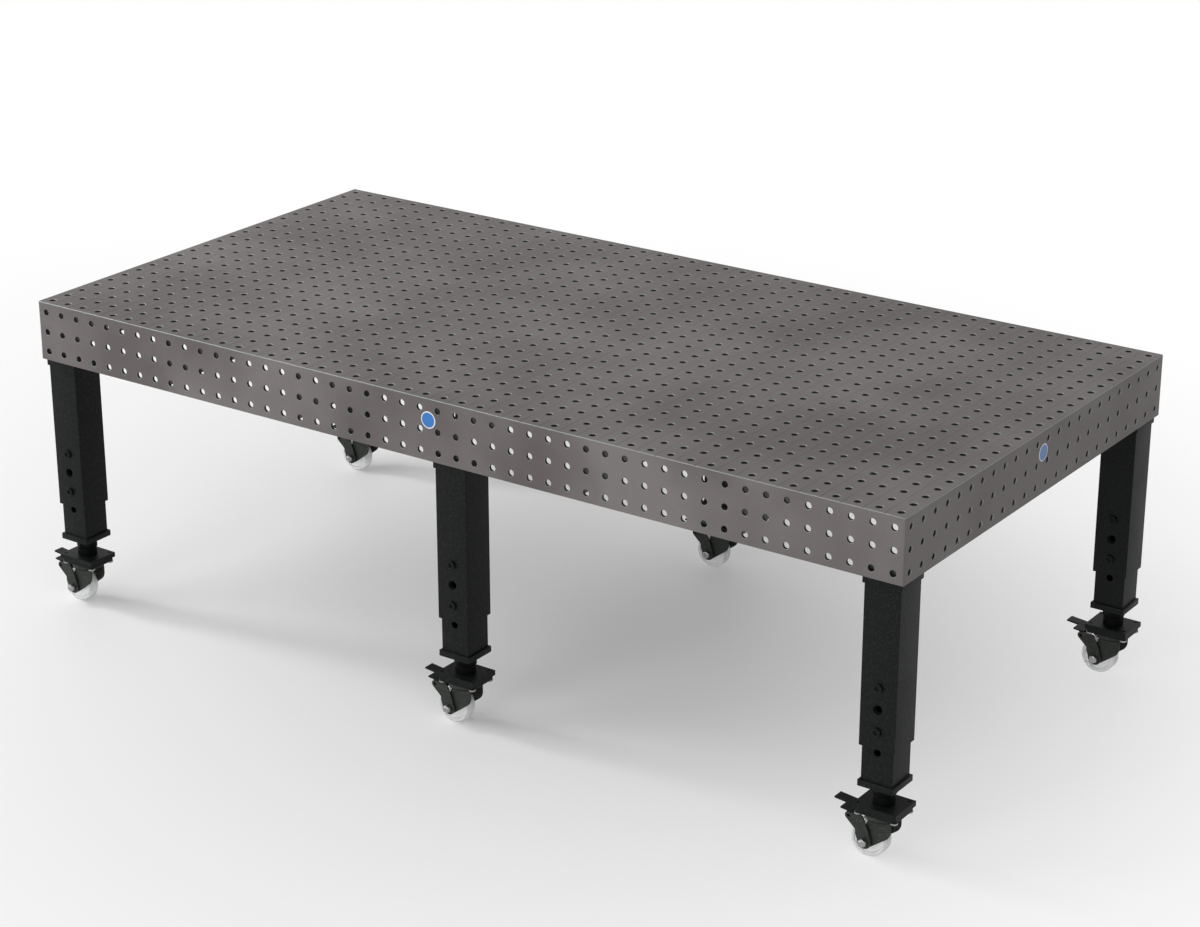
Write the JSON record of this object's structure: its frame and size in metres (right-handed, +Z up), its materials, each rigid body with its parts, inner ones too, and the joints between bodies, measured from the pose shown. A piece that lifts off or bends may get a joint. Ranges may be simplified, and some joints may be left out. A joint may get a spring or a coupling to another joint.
{
  "type": "welding fixture table",
  "caption": "Perforated steel welding table with deep drilled aprons on telescopic square legs with braked swivel casters.",
  "frame": {"origin": "on the floor under the plan centre of the top", "axes": "+X along the length to the right of the picture, +Y to the back, +Z up"},
  "size_m": [2.4675, 1.201, 0.8],
  "materials": {
    "plate_steel": "satin",
    "black_coat": "satin powder coat",
    "zinc": "zinc plated",
    "nylon": "moulded",
    "badge": "plain disc"
  },
  "bodies": {
    "table": {"top_plate": "plate_steel", "front_apron": "plate_steel", "rear_apron": "plate_steel", "left_apron": "plate_steel", "right_apron": "plate_steel", "cross_ribs": "plate_steel", "leg_sockets": "black_coat", "leg_sleeves": "black_coat", "seat_bolts": "zinc", "clamp_screws": "zinc", "badges": "badge"},
    "front_left_leg": {"front_left_inner_leg": "black_coat", "front_left_levelling_stem": "black_coat", "front_left_caster_plate": "black_coat", "front_left_plate_bolts": "zinc"},
    "front_left_fork": {"front_left_caster_fork": "black_coat", "front_left_axle_and_pin": "zinc"},
    "front_left_wheel": {"front_left_wheel": "nylon"},
    "front_left_pedal": {"front_left_brake_pedal": "black_coat"},
    "front_middle_leg": {"front_middle_inner_leg": "black_coat", "front_middle_levelling_stem": "black_coat", "front_middle_caster_plate": "black_coat", "front_middle_plate_bolts": "zinc"},
    "front_middle_fork": {"front_middle_caster_fork": "black_coat", "front_middle_axle_and_pin": "zinc"},
    "front_middle_wheel": {"front_middle_wheel": "nylon"},
    "front_middle_pedal": {"front_middle_brake_pedal": "black_coat"},
    "front_right_leg": {"front_right_inner_leg": "black_coat", "front_right_levelling_stem": "black_coat", "front_right_caster_plate": "black_coat", "front_right_plate_bolts": "zinc"},
    "front_right_fork": {"front_right_caster_fork": "black_coat", "front_right_axle_and_pin": "zinc"},
    "front_right_wheel": {"front_right_wheel": "nylon"},
    "front_right_pedal": {"front_right_brake_pedal": "black_coat"},
    "rear_left_leg": {"rear_left_inner_leg": "black_coat", "rear_left_levelling_stem": "black_coat", "rear_left_caster_plate": "black_coat", "rear_left_plate_bolts": "zinc"},
    "rear_left_fork": {"rear_left_caster_fork": "black_coat", "rear_left_axle_and_pin": "zinc"},
    "rear_left_wheel": {"rear_left_wheel": "nylon"},
    "rear_left_pedal": {"rear_left_brake_pedal": "black_coat"},
    "rear_middle_leg": {"rear_middle_inner_leg": "black_coat", "rear_middle_levelling_stem": "black_coat", "rear_middle_caster_plate": "black_coat", "rear_middle_plate_bolts": "zinc"},
    "rear_middle_fork": {"rear_middle_caster_fork": "black_coat", "rear_middle_axle_and_pin": "zinc"},
    "rear_middle_wheel": {"rear_middle_wheel": "nylon"},
    "rear_middle_pedal": {"rear_middle_brake_pedal": "black_coat"},
    "rear_right_leg": {"rear_right_inner_leg": "black_coat", "rear_right_levelling_stem": "black_coat", "rear_right_caster_plate": "black_coat", "rear_right_plate_bolts": "zinc"},
    "rear_right_fork": {"rear_right_caster_fork": "black_coat", "rear_right_axle_and_pin": "zinc"},
    "rear_right_wheel": {"rear_right_wheel": "nylon"},
    "rear_right_pedal": {"rear_right_brake_pedal": "black_coat"}
  },
  "joints": [
    {"name": "front_left_height", "type": "slide", "parent": "table", "child": "front_left_leg", "axis": [0, 0, 1], "range_m": [-0.15, 0.05]},
    {"name": "front_left_swivel", "type": "hinge", "parent": "front_left_leg", "child": "front_left_fork", "pos_m": [-1.147, -0.546, 0.1], "axis": [0, 0, 1], "continuous": true},
    {"name": "front_left_roll", "type": "hinge", "parent": "front_left_fork", "child": "front_left_wheel", "pos_m": [-1.1745, -0.546, 0.042], "axis": [0, 1, 0], "continuous": true},
    {"name": "front_left_brake", "type": "hinge", "parent": "front_left_fork", "child": "front_left_pedal", "pos_m": [-1.2135, -0.546, 0.092], "axis": [0, -1, 0], "range_deg": [0, 15]},
    {"name": "front_middle_height", "type": "slide", "parent": "table", "child": "front_middle_leg", "axis": [0, 0, 1], "range_m": [-0.15, 0.05]},
    {"name": "front_middle_swivel", "type": "hinge", "parent": "front_middle_leg", "child": "front_middle_fork", "pos_m": [0.049, -0.546, 0.1], "axis": [0, 0, 1], "continuous": true},
    {"name": "front_middle_roll", "type": "hinge", "parent": "front_middle_fork", "child": "front_middle_wheel", "pos_m": [0.0215, -0.546, 0.042], "axis": [0, 1, 0], "continuous": true},
    {"name": "front_middle_brake", "type": "hinge", "parent": "front_middle_fork", "child": "front_middle_pedal", "pos_m": [-0.0175, -0.546, 0.092], "axis": [0, -1, 0], "range_deg": [0, 15]},
    {"name": "front_right_height", "type": "slide", "parent": "table", "child": "front_right_leg", "axis": [0, 0, 1], "range_m": [-0.15, 0.05]},
    {"name": "front_right_swivel", "type": "hinge", "parent": "front_right_leg", "child": "front_right_fork", "pos_m": [1.147, -0.546, 0.1], "axis": [0, 0, 1], "continuous": true},
    {"name": "front_right_roll", "type": "hinge", "parent": "front_right_fork", "child": "front_right_wheel", "pos_m": [1.1195, -0.546, 0.042], "axis": [0, 1, 0], "continuous": true},
    {"name": "front_right_brake", "type": "hinge", "parent": "front_right_fork", "child": "front_right_pedal", "pos_m": [1.0805, -0.546, 0.092], "axis": [0, -1, 0], "range_deg": [0, 15]},
    {"name": "rear_left_height", "type": "slide", "parent": "table", "child": "rear_left_leg", "axis": [0, 0, 1], "range_m": [-0.15, 0.05]},
    {"name": "rear_left_swivel", "type": "hinge", "parent": "rear_left_leg", "child": "rear_left_fork", "pos_m": [-1.147, 0.546, 0.1], "axis": [0, 0, 1], "continuous": true},
    {"name": "rear_left_roll", "type": "hinge", "parent": "rear_left_fork", "child": "rear_left_wheel", "pos_m": [-1.1745, 0.546, 0.042], "axis": [0, 1, 0], "continuous": true},
    {"name": "rear_left_brake", "type": "hinge", "parent": "rear_left_fork", "child": "rear_left_pedal", "pos_m": [-1.2135, 0.546, 0.092], "axis": [0, -1, 0], "range_deg": [0, 15]},
    {"name": "rear_middle_height", "type": "slide", "parent": "table", "child": "rear_middle_leg", "axis": [0, 0, 1], "range_m": [-0.15, 0.05]},
    {"name": "rear_middle_swivel", "type": "hinge", "parent": "rear_middle_leg", "child": "rear_middle_fork", "pos_m": [0.049, 0.546, 0.1], "axis": [0, 0, 1], "continuous": true},
    {"name": "rear_middle_roll", "type": "hinge", "parent": "rear_middle_fork", "child": "rear_middle_wheel", "pos_m": [0.0215, 0.546, 0.042], "axis": [0, 1, 0], "continuous": true},
    {"name": "rear_middle_brake", "type": "hinge", "parent": "rear_middle_fork", "child": "rear_middle_pedal", "pos_m": [-0.0175, 0.546, 0.092], "axis": [0, -1, 0], "range_deg": [0, 15]},
    {"name": "rear_right_height", "type": "slide", "parent": "table", "child": "rear_right_leg", "axis": [0, 0, 1], "range_m": [-0.15, 0.05]},
    {"name": "rear_right_swivel", "type": "hinge", "parent": "rear_right_leg", "child": "rear_right_fork", "pos_m": [1.147, 0.546, 0.1], "axis": [0, 0, 1], "continuous": true},
    {"name": "rear_right_roll", "type": "hinge", "parent": "rear_right_fork", "child": "rear_right_wheel", "pos_m": [1.1195, 0.546, 0.042], "axis": [0, 1, 0], "continuous": true},
    {"name": "rear_right_brake", "type": "hinge", "parent": "rear_right_fork", "child": "rear_right_pedal", "pos_m": [1.0805, 0.546, 0.092], "axis": [0, -1, 0], "range_deg": [0, 15]}
  ]
}
